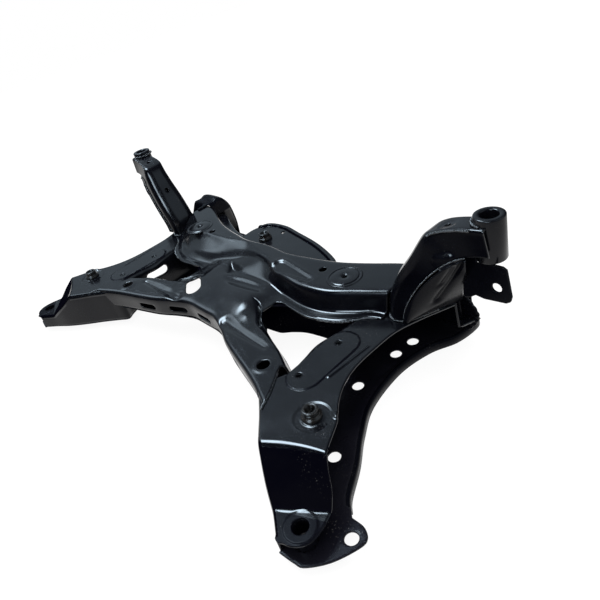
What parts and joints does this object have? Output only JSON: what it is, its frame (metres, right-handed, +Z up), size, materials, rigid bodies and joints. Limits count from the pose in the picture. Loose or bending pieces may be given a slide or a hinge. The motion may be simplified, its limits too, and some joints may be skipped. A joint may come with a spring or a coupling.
{
  "type": "front subframe",
  "caption": "Welded sheet-steel front subframe: an X-shaped crossmember, deep side arms, bolt-down arm ends and raised towers with mounting tubes.",
  "frame": {"origin": "middle of the bounding box in plan, on the floor plane under the lower arm plates", "axes": "+X to the side of the pad holes seen nearest in the picture, along the longest extent; +Y towards the towers and the front bracket; +Z up"},
  "size_m": [0.958, 0.476, 0.252],
  "materials": {
    "black_paint": "gloss",
    "painted_nut": "satin"
  },
  "bodies": {
    "root": {"crossmember_upper": "black_paint", "crossmember_lower": "black_paint", "rail_lower": "black_paint", "arm_deck_right": "black_paint", "arm_deck_left": "black_paint", "arm_wall_right": "black_paint", "arm_wall_left": "black_paint", "arm_lower_right": "black_paint", "arm_lower_left": "black_paint", "tower_inner_right": "black_paint", "tower_inner_left": "black_paint", "tower_outer_right": "black_paint", "tower_outer_left": "black_paint", "tower_tube_right": "black_paint", "tower_tube_left": "black_paint", "side_tab_right": "black_paint", "side_tab_left": "black_paint", "pocket_end_right": "black_paint", "pocket_end_left": "black_paint", "front_ear_right": "black_paint", "front_ear_left": "black_paint", "collar_nut_right": "painted_nut", "collar_nut_left": "painted_nut", "front_bracket": "black_paint", "bracket_nut": "painted_nut", "box_pad_nuts": "painted_nut"}
  },
  "joints": []
}
